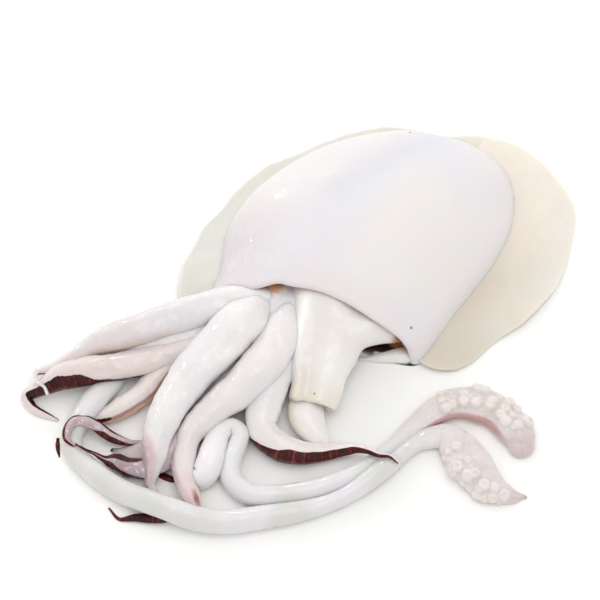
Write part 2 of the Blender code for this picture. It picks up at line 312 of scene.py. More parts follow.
def mantle_points(share, inset, turn):
    """Points of the dome at shares from rim to tail, moved inwards by the inset.

    The upper half of a section is a superellipse and the lower half is flat. Each point
    starts from its own place on the rim, so that the front ones follow the rim. The wall
    is thicker at the lower right, as a bell round that turn.
    """
    lower_right = (turn + np.pi + 0.1) % (2 * np.pi) - np.pi
    thicker = 1 + LOWER_LIP_EXTRA * bump_at(lower_right, 0, 0.7)
    share = np.where(inset > 0, share * np.where(share < 0, thicker, 1), share)
    across = np.sign(np.cos(turn)) * np.abs(np.cos(turn)) ** 0.85
    rise = np.sin(turn)
    rim = mantle_rim(MANTLE_MID_X + MANTLE_FRONT_HALF_WIDTH * across)
    rim = rim + FLOOR_LEAD * np.minimum(rise, 0)
    y = rim + share * (MANTLE_TAIL_Y - rim)
    width = np.maximum(mantle_half_width(y) - inset * thicker, 0.4)
    height = np.maximum(mantle_height(y) - inset, 0.4)
    floor = CAVITY_FLOOR * np.clip(inset / LIP_RADIUS - 1, 0, 1) - 0.8
    z = floor + (height - floor) * np.maximum(rise, 0) ** 0.9 + 0.6 * np.minimum(rise, 0)
    tuck = FRONT_TUCK * smooth_step(-across, 0.55, 1.0) * smooth_step(y, 24, -12)
    return np.stack([mantle_middle(y) + width * across + tuck, y + 0 * z, z], axis=-1)


# %% The mantle's skin
turn = np.concatenate(
    [
        np.linspace(0, np.pi, TOP_COLUMNS, endpoint=False),
        np.linspace(np.pi, 2 * np.pi, FLOOR_COLUMNS, endpoint=False),
    ]
)
length = MANTLE_TAIL_Y - RIM_RIGHT_Y
back_share = np.sin(np.linspace(0.5 * np.pi, 0, BACK_ROWS + 1)[1:])
roll = np.linspace(0, np.pi, LIP_ROWS + 1)[1:]
share = np.concatenate([back_share, -np.sin(roll) * LIP_RADIUS / length])
inset = np.concatenate([0 * back_share, LIP_RADIUS * (1 - np.cos(roll))])
inner = np.linspace(0, CAVITY_DEPTH / length, CAVITY_ROWS + 1)[1:]
share = np.concatenate([share, inner])
inset = np.concatenate([inset, np.full(len(inner), 2 * LIP_RADIUS)])
rows = mantle_points(share[:, None], inset[:, None], turn[None, :])
inside = np.clip(inset / (2 * LIP_RADIUS), 0, 1)[:, None] * np.ones(len(turn))
deep = np.concatenate([0 * back_share, 0 * roll, inner * length / CAVITY_DEPTH])[:, None]
rise = np.sin(turn)
shown = np.maximum(smooth_step(rise, -0.15, 0), smooth_step(rows[..., 2], 1.5, 2.8))
shown = np.maximum(shown, 1 - smooth_step(rows[..., 0], 15, 20))
inside = np.maximum(inside * shown, smooth_step(deep, 0, 0.03))
# Painted shade in the cavity: golden brown on the upper wall and the gap's floor, near black deeper.
golden_floor_shade = smooth_step(rows[..., 0], 19, 22.5) * smooth_step(rows[..., 1], 4.4, 6)
wall_shade = np.maximum(smooth_step(rise, 0.02, 0.2), golden_floor_shade) * (1 - smooth_step(deep, 0.3, 0.9))

DIP_FROM = np.array([-36.0, 52.0])
DIP_TO = np.array([-16.0, 116.0])


def groove(points, start, end, width):
    """1 along the line from start to end, falling off to its sides as a bell."""
    line = (end - start) / np.linalg.norm(end - start)
    away = points[..., :2] - start
    beside = away[..., 0] * line[1] - away[..., 1] * line[0]
    past = np.maximum(-(away @ line), 0) + np.maximum(away @ line - np.linalg.norm(end - start), 0)
    return np.exp(-((beside / width) ** 2) - (past / width) ** 2)


up_side = smooth_step(rows[..., 2], 1, 8) * (1 - inside)
wet_patch = bump_at(rows[..., 0], -58, 16) * bump_at(rows[..., 1], 4, 16)
relief = 0.7 * lumps(rows, 46, 1) + 0.22 * lumps(rows, 17, 2) + 0.06 * lumps(rows, 6, 3)
relief = relief + wet_patch * (0.6 * lumps(rows, 7, 4) + 0.25 * lumps(rows, 3, 5))
relief = relief - 1.6 * groove(rows, DIP_FROM, DIP_TO, 10)
rows = rows + outward(rows) * (relief * up_side)[..., None]
rows = on_floor(rows)
rim_blush = smooth_step(share, 0.13, 0.0)[:, None] * bump_at(rows[..., 0], -12, 46) * (1 - inside)
# Painted shade: the groove down the back is tinted blue grey, beside its real dip in the surface.
dip_shade = groove(rows, DIP_FROM, DIP_TO, 14) * up_side
# Painted shade: the mantle's left front is tinted a darker mauve grey.
mauve_and_side_shade = smooth_step(-rows[..., 0], 38, 75) * smooth_step(-rows[..., 1], -60, 0)
tones = {"blush": rim_blush, "inside": inside, "deep": deep, "wall_shade": wall_shade}
tones |= {"groove_shade": dip_shade, "mauve_and_side_shade": mauve_and_side_shade, "wet": wet_patch}
mantle = closed_skin("mantle", rows, tones)
mantle_specks = highest_near(rows, ((29.9, 10.6), (-84, 39), (-77, 58), (-31, 113)))

# %% [markdown]
# ## The fin
#
# A thin skirt of fin runs round the mantle: narrow on the left, where it is tucked under, and
# wide on the right, where it lies spread on the surface. Its edge is a smooth curve through
# reaches at bearings from a middle point. Rows run along the bearings, and the columns go out
# along the underside, round the thin edge and back along the top.

# %% The fin's edge and its skin
FIN_MIDDLE = np.array([-20.0, 40.0])
FIN_EDGE = (
    (-34, 60), (-28, 73), (-19, 81), (-6, 83), (6, 90), (20, 100), (34, 108.5), (46, 115.5),
    (56, 114), (68, 110), (78, 100.5), (88, 89.5), (104, 83), (122, 75), (146, 70), (170, 71),
    (188, 74), (204, 81), (218, 88), (229, 90), (238, 80),
)
FIN_OVERLAP = 16.0
FIN_THICKNESS = 3.2
FIN_EDGE_THICKNESS = 1.5
FIN_WAVES = 7
FIN_WAVE_HEIGHT = 1.2
FIN_COLUMNS = 46
FIN_EDGE_COLUMNS = 7


def smooth_route(points, step):
    """A smooth curve through the points, with a sample about every step of its length.

    Each span is a cubic Hermite curve measured by its chord. The slope at a point
    weighs the slopes of its two chords by each other's length.
    """
    knots = np.array(points, dtype=float)
    chords = np.linalg.norm(np.diff(knots[:, :3], axis=0), axis=1)
    slopes = np.diff(knots, axis=0) / chords[:, None]
    before, after = chords[:-1, None], chords[1:, None]
    middle = (slopes[:-1] * after + slopes[1:] * before) / (before + after)
    slopes = np.vstack([slopes[:1], middle, slopes[-1:]])
    samples = []
    for i, chord in enumerate(chords):
        t = np.linspace(0.0, 1.0, max(2, round(chord / step)), endpoint=False)[:, None]
        samples.append(
            (2 * t**3 - 3 * t**2 + 1) * knots[i]
            + (t**3 - 2 * t**2 + t) * chord * slopes[i]
            + (3 * t**2 - 2 * t**3) * knots[i + 1]
            + (t**3 - t**2) * chord * slopes[i + 1]
        )
    return np.vstack(samples + [knots[-1:]])


def outline_reach(directions):
    """How far the mantle's outline lies from the fin's middle point, by halving, for all bearings."""
    near, far = np.zeros(len(directions)), np.full(len(directions), 200.0)
    for _ in range(30):
        reach = (near + far) / 2
        x, y = (FIN_MIDDLE + directions * reach[:, None]).T
        held = (RIM_LEFT_Y < y) & (y < MANTLE_TAIL_Y)
        held &= np.abs(x - mantle_middle(y)) < mantle_half_width(y)
        near, far = np.where(held, reach, near), np.where(held, far, reach)
    return near


edge = smooth_route([(bearing, reach, 0, 0) for bearing, reach in FIN_EDGE], 0.7)
angle = np.radians(edge[:, 0])
directions = np.stack([np.cos(angle), np.sin(angle)], axis=1)
start = outline_reach(directions) - FIN_OVERLAP
ragged = np.stack([60 * np.cos(angle), 60 * np.sin(angle), 0 * angle], axis=1)
reach = edge[:, 1] + 0.9 * lumps(ragged, 9, 11) + 0.35 * lumps(ragged, 3.5, 12) - 0.5
out = np.linspace(0, 1, FIN_COLUMNS) ** 0.8
tip_turn = np.linspace(-0.5 * np.pi, 0.5 * np.pi, FIN_EDGE_COLUMNS + 2)[1:-1]
share_out = np.concatenate([out, np.ones(FIN_EDGE_COLUMNS), out[::-1]])
side = np.concatenate([0 * out - 1, np.sin(tip_turn), 0 * out + 1])
bulge = np.concatenate([0 * out, np.cos(tip_turn), 0 * out])
plain = start[:, None] + (reach - start)[:, None] * share_out
thick = FIN_EDGE_THICKNESS + (2 * FIN_THICKNESS - FIN_EDGE_THICKNESS) * (1 - share_out) ** 1.4
plain = plain + bulge * FIN_EDGE_THICKNESS / 2
wave = FIN_WAVE_HEIGHT * (1 + np.sin(FIN_WAVES * angle + 0.6 * np.sin(3 * angle)))
lift = wave[:, None] * share_out**2
rows = np.empty(plain.shape + (3,))
rows[..., :2] = FIN_MIDDLE + directions[:, None] * plain[..., None]
ruffle = lumps(rows * (1, 1, 0), 11, 13) * share_out**3 * 0.5
rows[..., 2] = lift + ruffle + thick / 2 + side * thick / 2
rows[..., 2] += 0.25 * lumps(rows * (1, 1, 0), 8, 14) * (side > 0)
rows = on_floor(rows)
# Painted shade low beside the mantle's right flank, and painted light towards the tail.
low = smooth_step(-rows[..., 1], -62, -14) * (rows[..., 0] > 0)
left = smooth_step(-np.cos(angle), -0.3, 0.3)[:, None]
high = smooth_step(rows[..., 1], 60, 115) * (rows[..., 0] > 0)
tones = {"edge": share_out + 0 * plain, "left": left, "low": low, "high": high}
fin = closed_skin("fin", rows, tones)
fin_specks = highest_near(rows, ((32.2, 111.6),))

# %% [markdown]
# ## Limbs
#
# Arms, tentacles, head and funnel are all limbs: a section carried along a smooth route, its
# width changing as it goes. A curve object with a bevel could do this, but then the section
# could not sag, carry a fold or be stained on one side. Here each row is an ellipse set square
# to the route, and the angle round it says which side of the limb a point is on.

# %% A limb's surface
SINK = 0.7


def limb_rows(points, flatness, step=1.1, sides=56):
    """Middle line plus half-width times (cos of the turn, sideways) and (flatness times sine, up).

    The flatness is one number, or two: at the start, and from two fifths of the way on.
    Returns the rows, the turn in degrees, the share and the length in millimetres along
    the limb, each as a whole grid or as something that spreads over it.
    """
    path = smooth_route(points, step)
    half = np.maximum(path[:, 3], 0.6)
    first, later = np.broadcast_to(flatness, 2)
    flatness = first + (later - first) * smooth_step(np.linspace(0, 1, len(path)), 0, 0.4)
    middle = path[:, :3].copy()
    middle[:, 2] += half * flatness - SINK
    along = np.gradient(middle, axis=0)
    along /= np.linalg.norm(along, axis=1)[:, None]
    side = np.cross(along, (0.0, 0.0, 1.0))
    side /= np.linalg.norm(side, axis=1)[:, None]
    up = np.cross(side, along)
    turn = np.linspace(0, 2 * np.pi, sides, endpoint=False)
    rise = (flatness[:, None] * np.sin(turn))[..., None]
    ring = np.cos(turn)[:, None] * side[:, None] + rise * up[:, None]
    rows = middle[:, None] + half[:, None, None] * ring
    round_off = np.array([0.93, 0.8, 0.58, 0.3])[:, None, None]
    ahead = np.array([0.35, 0.6, 0.8, 0.93])[:, None, None] * half[-1] * along[-1]
    tip = middle[-1] + ahead + round_off * (rows[-1] - middle[-1])
    rows = np.concatenate([rows, tip])
    walked = np.linalg.norm(np.diff(rows.mean(axis=1), axis=0), axis=1)
    walked = np.concatenate([[0], np.cumsum(walked)])[:, None]
    return rows, np.degrees(turn)[None, :], walked / walked[-1], walked


def fleshy(rows, amount, size, seed):
    """The rows with soft swellings and faint lengthwise cords of muscle under the skin.

    The swellings shrink with the limb, as the square root of its half width over 7 mm.
    """
    radius = np.linalg.norm(rows - rows.mean(axis=1, keepdims=True), axis=2).mean(axis=1)
    scale = np.sqrt(np.minimum(radius / 7, 1.5))[:, None]
    swell = amount * lumps(rows, size, seed) + 0.35 * amount * lumps(rows, size / 2.7, seed + 1)
    turn = np.linspace(0, 2 * np.pi, rows.shape[1], endpoint=False)
    drift = lumps(rows, 3 * size, seed + 2)
    cords = 0.3 * amount * np.sin(5 * turn + 3 * drift)
    return rows + outward(rows) * (scale * (swell + cords))[..., None]


# %% [markdown]
# ## Head and funnel
#
# Between mantle and arms lies the head, mostly hidden, and on it the funnel: a flattened cone
# of muscle with a fold along its left side, whose open end has a soft lip. The funnel is a limb
# too, but its rows turn over at the lip and run back inside, so that it is truly open.

# %% The head
HEAD = ((-20, 30, 3, 20), (-28, 6, 2, 26), (-33, -12, 0, 27), (-34, -28, 0, 21), (-36, -42, 0, 11))

rows = limb_rows(HEAD, 0.37, sides=120)[0]
rows = on_floor(fleshy(rows, 0.9, 11, 21))
# Painted shade: brown where the head runs under the mantle's rim, in the small gap.
gap_shade = bump_at(rows[..., 0], -41, 7) * smooth_step(rows[..., 1], -10.5, -7)
head = closed_skin("head", rows, {"gap_shade": gap_shade})

# %% [markdown]
# The funnel, the soft fold beside it and the collar that runs to the right wall are one skin, with
# no crease where they meet. Skins that only cross each other would show one. So the three are
# joined, wrapped anew on a fine cubic lattice, and evened where they meet by moving each point
# towards the mean of its neighbours. The lip at the funnel's open end is left as it was.

# %% The funnel, open in front
FUNNEL = (
    (-22, 28, 7, 23), (-15, 11, 8, 21.5), (-9, -3, 7, 19.3), (-3, -16, 6, 17), (2, -29, 4.5, 14.3),
    (6, -39, 3.5, 12), (7, -43, 3, 11.2),
)
FUNNEL_LIP = 1.5
FUNNEL_LIP_BULB = 1.4

rows, turn, share, _ = limb_rows(FUNNEL, 0.46, sides=120)
rows = rows[:-4]
share = share[:-4] / share[-5]
fold = bump_at(turn, 44, 13) * smooth_step(share, 0.15, 0.4)
valley = bump_at(turn, 74, 17) * smooth_step(share, 0.2, 0.5)
flare = smooth_step(share, 0.86, 1.0) * (0.5 + 0.9 * bump_at(turn, 20, 40))
rows = fleshy(rows, 0.45, 13, 31) + outward(rows) * (2.0 * fold - 1.2 * valley + flare)[..., None]
middle = rows[-1].mean(axis=0)
ahead = rows[-1].mean(axis=0) - rows[-6].mean(axis=0)
ahead /= np.linalg.norm(ahead)
roll = np.linspace(0, np.pi, 10)[1:, None, None]
radial = rows[-1] - middle
radial /= np.linalg.norm(radial, axis=-1, keepdims=True)
from_left = (turn[0] + 150) % 360 - 180
lip_radius = (FUNNEL_LIP + FUNNEL_LIP_BULB * bump_at(from_left, 0, 38))[:, None]
lip = rows[-1] - radial * lip_radius * (1 - np.cos(roll)) + ahead * lip_radius * np.sin(roll)
back_in = np.linspace(1, 12, 12)[:, None, None]
hollow = lip[-1] - ahead * back_in + (middle - lip[-1]) * (0.02 * back_in)
funnel_rows = np.concatenate([rows, lip, hollow])

# %% The collar and the fold, wrapped with the funnel
COLLAR = ((-12, -22, 4, 9), (-5, -10, 5, 11.5), (5, 2, 5, 12.5), (16, 11, 4.5, 11.5), (27, 18, 3, 8.5))
FUNNEL_FOLD = ((-12, 14, 14, 8), (-2, 3, 11, 9), (5, -7, 8.5, 7.5), (9, -16, 6, 5.5), (10, -24, 4, 3))
LATTICE = 0.75
EVENING_ROUNDS = 60


def wrapped(name, skins, size):
    """One mesh round several skins, made on a cubic lattice of that size in millimetres."""
    joined = bmesh.new()
    for rows in skins:
        joined.from_mesh(skin_mesh(name, on_floor(rows)))
    mesh = bpy.data.meshes.new(name)
    joined.to_mesh(mesh)
    joined.free()
    thing = bpy.data.objects.new(name, mesh)
    bpy.context.scene.collection.objects.link(thing)
    remesh = thing.modifiers.new("wrap", "REMESH")
    remesh.mode = "VOXEL"
    remesh.voxel_size = size * MM
    remesh.use_smooth_shade = True
    whole = bpy.data.meshes.new_from_object(thing.evaluated_get(bpy.context.evaluated_depsgraph_get()))
    bpy.data.objects.remove(thing)
    return whole


def evened(mesh, rounds, weigh):
    """Moves each point half way, times its weight, to the mean of its neighbours, again and again.

    The weight comes from a function of the points in millimetres. Returns the points.
    """
    points = np.empty(3 * len(mesh.vertices), np.float32)
    mesh.vertices.foreach_get("co", points)
    points = points.reshape(-1, 3).astype(float) / MM
    edges = np.empty(2 * len(mesh.edges), np.int32)
    mesh.edges.foreach_get("vertices", edges)
    one, other = np.concatenate([edges.reshape(-1, 2), edges.reshape(-1, 2)[:, ::-1]]).T
    count = np.bincount(one, minlength=len(points))[:, None]
    weight = 0.5 * weigh(points)[:, None]
    for _ in range(rounds):
        near = np.stack([np.bincount(one, points[other, k], len(points)) for k in range(3)], axis=1)
        points = points + weight * (near / count - points)
    points = on_floor(points)
    mesh.vertices.foreach_set("co", (points * MM).astype(np.float32).ravel())
    mesh.update()
    return points


def off_the_lip(points):
    """1 behind the funnel's open end, falling to a little at the end itself."""
    return 0.04 + 0.96 * smooth_step(points[:, 1], -36, -24)


collar_rows = fleshy(limb_rows(COLLAR, 0.72, sides=90)[0], 0.5, 10, 41)
fold_rows = fleshy(limb_rows(FUNNEL_FOLD, 0.7, sides=80)[0], 0.4, 9, 43)
mesh = wrapped("funnel", (funnel_rows, collar_rows, fold_rows), LATTICE)
points = evened(mesh, EVENING_ROUNDS, off_the_lip)
x, y, z = points.T
# Painted shade: brown on the collar near the floor and at its right end, in the gap under the rim.
gap_shade = (smooth_step(x, 20, 27) + 1 - smooth_step(z, 2.5, 5.5)) * smooth_step(x, 8, 12)
cream_and_shade = smooth_step(-y, 28, 48)
# Painted highlight: a pale streak along the fold on the funnel's left side.
ridge_highlight = bump_at(x + 0.33 * (y + 10), -19.5, 2.5) * smooth_step(-y, -4, 6) * smooth_step(z, 8, 13)
funnel = settled("funnel", mesh, {"gap_shade": np.clip(gap_shade, 0, 1), "cream_and_shade": cream_and_shade, "ridge_highlight": ridge_highlight})
funnel_specks = highest_near(points, ((5.9, -42.1),))
print("funnel reaches", points.min(axis=0).round(1), points.max(axis=0).round(1))

# %% [markdown]
# A pale lobe shows under the funnel's tip, and a thin lip closes the opening on its right from
# below. Both are short limbs of their own, laid against the funnel's skin.

# %% The lobe under the funnel's tip, and the lower lip of the opening
FUNNEL_LOBE = (
    (0, -34, 0, 7.5), (3.5, -44, 0, 8.6), (8, -51, 0, 8.4), (14, -55, 0, 6.8), (21, -58, 0, 4.2),
)
LOWER_LIP = (
    (9, -8.7, -0.2, 0.9), (14.5, -6.2, -0.2, 1.4), (18, -3.8, -0.1, 2), (21.4, -1.5, 0, 2.6),
    (25.5, 1.7, 0, 3.3), (29.5, 4.4, 0, 3.9), (33, 7.3, 0, 3.3),
)

rows, turn, _, _ = limb_rows(FUNNEL_LOBE, 0.6, sides=80)
# Painted shade: the lobe's left side, under the lip's bulge, is tinted cream beige.
cream_and_shade = smooth_step(np.cos(np.radians(turn)), 0.5, 0.95)
funnel_lobe = closed_skin("funnel_lobe", on_floor(fleshy(rows, 0.6, 9, 35)), {"cream_and_shade": cream_and_shade})
rows = limb_rows(LOWER_LIP, 0.8, step=0.7, sides=60)[0]
lower_lip = closed_skin("lower_lip", on_floor(fleshy(rows, 0.35, 7, 45)))

# %% [markdown]
# ## Arms
#
# Eight arms fan out in front. The skin was pulled off, but each arm keeps strips of it: maroon
# bands along the lower edge, and a pink or purple blush towards the tip. A band is a range of
# angles round the arm that changes along it, with a ragged edge, and the flesh is a little
# lower there, where the skin is thin.

# %% A stained arm
TONES = {"stain": 4, "ribbon": 4, "peach": 6, "mauve_and_side_shade": 24, "blush": 24, "cream_and_shade": 14, "bruise": 9}


def band_on(share, angle, band, soft):
    """1 inside a band, given as (share along, upper angle, lower angle) places, and 0 outside.

    Its long edges fade over so many degrees to each side, and its ends in proportion.
    """
    places, uppers, lowers = np.array(band, dtype=float).T
    upper, lower = np.interp(share, places, uppers), np.interp(share, places, lowers)
    fade = soft / 400
    inside = smooth_step(angle, upper - soft, upper + soft)
    inside = inside * (1 - smooth_step(angle, lower - soft, lower + soft))
    ends = smooth_step(share, places[0] - fade, places[0] + fade)
    return inside * ends * (1 - smooth_step(share, places[-1] - fade / 2, places[-1] + 2 * fade))


def arm(name, route, seed, bands, washes, mirrored=False, flatness=0.86, rough=1.0):
    """A limb with tones: bands of them along it, and washes of (share along, strength) all round.

    Angles are in degrees round the arm: 90 is its top and 180 the side that faces the
    front, and on a mirrored arm too.
    """
    rows, turn, share, walked = limb_rows(route, flatness)
    rows = fleshy(rows, 0.6 * rough, 9, seed)
    relief = 0.09 * lumps(rows, 2.6, seed + 7) + 0.1 * lumps(rows, 4.5, seed + 8)
    rows = rows + outward(rows) * (rough**2 * relief)[..., None]
    angle = (180 - turn) % 360 if mirrored else turn
    angle = angle + 6 * lumps(rows, 6, seed + 5) + 3 * lumps(rows, 2, seed + 6)
    angle = (angle + 60) % 360 - 60
    tones = {"along": walked}
    for tone, soft in TONES.items():
        places, strengths = np.array(washes.get(tone, ((0, 0), (1, 0))), dtype=float).T
        tones[tone] = np.interp(share, places, strengths) + 0 * angle
        for band in bands.get(tone, ()):
            tones[tone] = np.maximum(tones[tone], band_on(share, angle, band, soft))
    rows = rows - outward(rows) * (0.3 * tones["stain"])[..., None]
    return closed_skin(name, on_floor(rows), tones)


# %% [markdown]
# Five arms lie to the left, and their tips curl over each other. Each route is a list of places
# with a height and a half width, read from the picture. A physics run could lay them down, but
# not in this very tangle. A thin web joins the tips.

# %% The left arms
outer_left = arm(
    "arm_outer_left",
    (
        (-30, -8, 4, 6.0), (-43, -13, 10, 7.4), (-57, -25, 9.5, 8.6), (-75, -44, 5, 9.0),
        (-87, -59, 5, 8.6), (-97, -70, 4.5, 7.2), (-105, -83, 4, 4.2), (-111, -94, 4, 2.8),
        (-116, -101, 6, 1.5), (-113, -105, 8, 1.1), (-107, -106, 9, 0.9), (-104, -108, 9, 0.7),
    ),
    101,
    {
        "cream_and_shade": (((0.4, 150, 250), (0.6, 135, 250), (0.78, 120, 250)),),
        "stain": (((0.82, 160, 215), (0.9, 150, 215)),),
    },
    {
        # Painted shade: a faint mauve grey wash over the arm's middle.
        "mauve_and_side_shade": ((0.2, 0), (0.38, 0.12), (0.55, 0.2), (0.65, 0.08), (1, 0.1)),
        "blush": ((0, 0), (0.5, 0.0), (0.8, 0.15), (1, 0.2)),
        "cream_and_shade": ((0, 0), (0.45, 0.0), (0.6, 0.3), (0.8, 0.3), (1, 0)),
    },
)
second_left = arm(
    "arm_second_left",
    (
        (-28, -10, 5, 5.9), (-40, -15, 5, 5.9), (-53, -38, 3, 6.8), (-66, -58, 2, 7),
        (-77, -71, 3, 6.9), (-86, -81, 4, 7.2), (-95, -89, 4, 7.3), (-104, -98, 3, 6.6),
        (-110, -106, 1.5, 4.2), (-114, -112, 0.5, 2.9), (-109, -115, 0, 2.4), (-102, -115, 0, 1.9),
        (-95, -114, 0, 1),
    ),
    111,
    {
        "stain": (
            (
                (0.3, 194, 250), (0.42, 186, 250), (0.5, 182, 250), (0.58, 172, 250),
                (0.64, 154, 250), (0.68, 122, 250), (0.745, 103, 240), (0.8, 96, 228),
                (0.86, 88, 215), (0.92, 100, 195), (1, 110, 200),
            ),
        ),
    },
    {
        "cream_and_shade": ((0, 0.2), (0.4, 0.5), (0.7, 0.6), (0.9, 0.1), (1, 0)),
        "blush": ((0, 0), (0.3, 0.2), (0.5, 0.3), (0.75, 0.3), (1, 0.5)),
    },
)
third_left = arm(
    "arm_third_left",
    (
        (-29, -18, 5, 4.9), (-46, -31, 5, 4.9), (-60, -50, 2, 5.4), (-66, -68, 0, 5.8),
        (-67, -83, 0, 5.9), (-70, -92, 0, 5.6), (-74, -99, 0, 4.6), (-78, -104, 0.5, 3.4),
        (-82, -107, 3, 2.6), (-85, -111, 5, 1.6),
    ),
    121,
    {
        "stain": (((0.84, 132, 150), (0.92, 110, 160), (1, 80, 170)), ((0.5, 194, 206), (1, 188, 199))),
        "ribbon": (
            ((0.4, 138, 158), (0.7, 140, 158), (0.9, 128, 156)), ((0.4, 184, 199), (1, 182, 196)),
        ),
        "peach": (((0.4, 150, 250), (0.85, 150, 250), (1, 150, 250)),),
    },
    {"blush": ((0, 0.3), (0.45, 0.3), (0.85, 0.1), (1, 0.8)), "cream_and_shade": ((0, 0.2), (0.4, 0.5), (1, 0.3))},
)
fourth_left = arm(
    "arm_fourth_left",
    (
        (-28, -24, 4, 4.4), (-41, -39, 4, 4.4), (-45, -69, 0, 4.4), (-47, -92, 0, 3.6),
        (-52, -101, 0, 1.8), (-56, -105, 1, 1.8), (-62, -108, 2, 2.8), (-69, -109, 3, 3.2),
        (-75, -109, 5, 3.2), (-80, -110, 7, 3.1), (-84, -114, 8.5, 3.0), (-84, -119, 9, 2.6),
        (-82, -123, 9, 2.0), (-77, -124, 8.5, 1),
    ),
    131,
    {
        "stain": (
            (
                (0.52, 130, 250), (0.6, 136, 250), (0.66, 130, 250), (0.71, 98, 250),
                (0.77, 100, 250), (0.8, 150, 250), (0.84, 180, 250), (1, 170, 250),
            ),
            ((0.6, -30, 40), (0.75, -30, 56), (0.9, -30, 60), (1, -30, 90)),
        ),
        "cream_and_shade": (((0.8, 90, 150), (0.9, 90, 150)),),
    },
    {
        "mauve_and_side_shade": ((0, 0.3), (0.5, 0.8), (0.7, 0.9), (0.85, 0.8), (1, 1)),
        "blush": ((0, 0), (0.5, 0.3), (1, 0.3)),
    },
    flatness=0.7,
)
inner_left = arm(
    "arm_inner_left",
    (
        (-24, -26, 4, 4.4), (-38, -39, 4, 4.4), (-39, -69, 0, 5), (-37, -93, 0, 6),
        (-39, -108, 0, 5.4), (-44, -115, 0, 5.2), (-51, -118, 1, 4.8), (-57, -119, 2, 3.9),
        (-61, -121, 4.5, 2), (-66, -122, 8, 1.1), (-71, -123, 9.5, 0.9), (-76, -123, 9.5, 0.7),
    ),
    141,
    {
        "stain": (
            ((0.62, 176, 250), (0.72, 160, 250), (0.8, 140, 250), (0.88, 110, 250), (1, 100, 250)),
            ((0.7, -30, 50), (0.8, -30, 84), (0.86, -30, 90), (1, -30, 110)),
        ),
    },
    {
        "mauve_and_side_shade": ((0, 0.3), (0.5, 0.5), (0.6, 0.4), (0.68, 1), (1, 1)),
        "blush": ((0, 0), (0.5, 0.8), (0.64, 0.9), (0.75, 0.5), (1, 0.4)),
    },
    rough=1.8,
)
web_left = arm(
    "web_left",
    (
        (-42, -85, 0, 5), (-45, -97, 0, 6.5), (-49, -105, 0, 6.5), (-54, -109, 0, 5),
        (-59, -112, 0, 3), (-63, -113, 0, 1.2),
    ),
    145,
    {},
    {"mauve_and_side_shade": ((0, 0.35), (1, 0.4)), "blush": ((0, 0.45), (1, 0.3)), "cream_and_shade": ((0, 0.4), (1, 0.4))},
    flatness=0.3,
)

# %% [markdown]
# Two scraps of skin have come off and lie beside the arms. They are tiny arms, stained all over.

# %% Two loose scraps of dark skin
SCRAPS = {
    "scrap_left": (
        (-89, -121.5, 0, 0.7), (-87.5, -124, 0, 1.4), (-85, -127, 0, 1.2), (-83, -129, 0, 0.6),
    ),
    "scrap_middle": ((-40, -111, 0, 0.8), (-36, -111.5, 0, 1.7), (-31, -111, 0, 1.9), (-27, -110, 0, 1)),
}
scraps = [
    arm(name, route, seed, {}, {"stain": ((0, 1), (1, 1))}, flatness=0.5)
    for seed, (name, route) in enumerate(SCRAPS.items(), 246)
]

# %% [markdown]
# Near the head, soft skin fills the grooves between the arms. Without it the floor would show
# there. Low, wide limbs under the arms fill them, and only their backs are seen.

# %% Webs between the arms' bases
WEBS = {
    "web_outer": (
        (-54, -27, 9, 6), (-64, -45, 7.5, 6.5), (-76, -58, 5.5, 6.5), (-88, -68, 3.5, 5.5),
        (-97, -77, 2, 3),
    ),
    "web_middle": ((-46, -12, 7, 6), (-57, -33, 5, 6), (-62, -48, 3, 5.5), (-63, -62, 1, 5)),
    "web_inner": (
        (-33, -15, 6, 7), (-35, -35, 5, 7), (-37, -51, 3.5, 6.5), (-41, -65, 2, 6),
        (-42, -79, 1, 5), (-39, -92, 0, 4),
    ),
}
WEB_WASHES = {"cream_and_shade": ((0, 0.1), (1, 0.3)), "blush": ((0, 0), (1, 0.2))}
webs = [
    arm(name, route, seed, {}, WEB_WASHES, flatness=0.56)
    for seed, (name, route) in enumerate(WEBS.items(), 146)
]

# %% [markdown]
# The two thick middle arms lie over the others. The right arm bends to the right in front of
# the funnel. Its strip of skin faces the front, so the angles round it are mirrored.

# %% The middle arms and the right arm
long_middle = arm(
    "arm_long_middle",
    (
        (-40, 4, -2, 6.5), (-43, -12, 5.5, 9.2), (-43, -28, 9, 11.5), (-46, -47, 7, 11.3),
        (-49, -66, 5, 10.4), (-49, -85, 4, 8.9), (-46, -98, 5, 7.6), (-42, -107, 5, 6.2),
        (-39, -114, 4, 4.2), (-37, -119, 2, 2.6), (-30, -124, 0, 2.8), (-22, -129, 0, 3.2),
        (-27, -133, 0, 3), (-34, -137, 0, 2.2), (-40, -141, 0, 1.2), (-47, -139, 0.3, 0.7),
    ),
    151,
    {
        "stain": (((0.8, -60, 300), (1, -60, 300)), ((0.35, 197, 210), (0.6, 196, 212))),
        "blush": (((0.6, -40, 50), (0.66, -40, 104), (0.7, -40, 124), (0.76, -40, 110)),),
        "mauve_and_side_shade": (
            ((0.62, -40, 30), (0.68, -40, 70), (0.76, -40, 60)), ((0.2, 190, 230), (0.6, 188, 230)),
        ),
    },
    {
        "mauve_and_side_shade": ((0, 0), (0.5, 0), (0.8, 0.3), (1, 0.6)),
        "blush": ((0, 0), (0.6, 0.0), (0.8, 0.5), (1, 0.8)),
    },
    flatness=0.8,
)
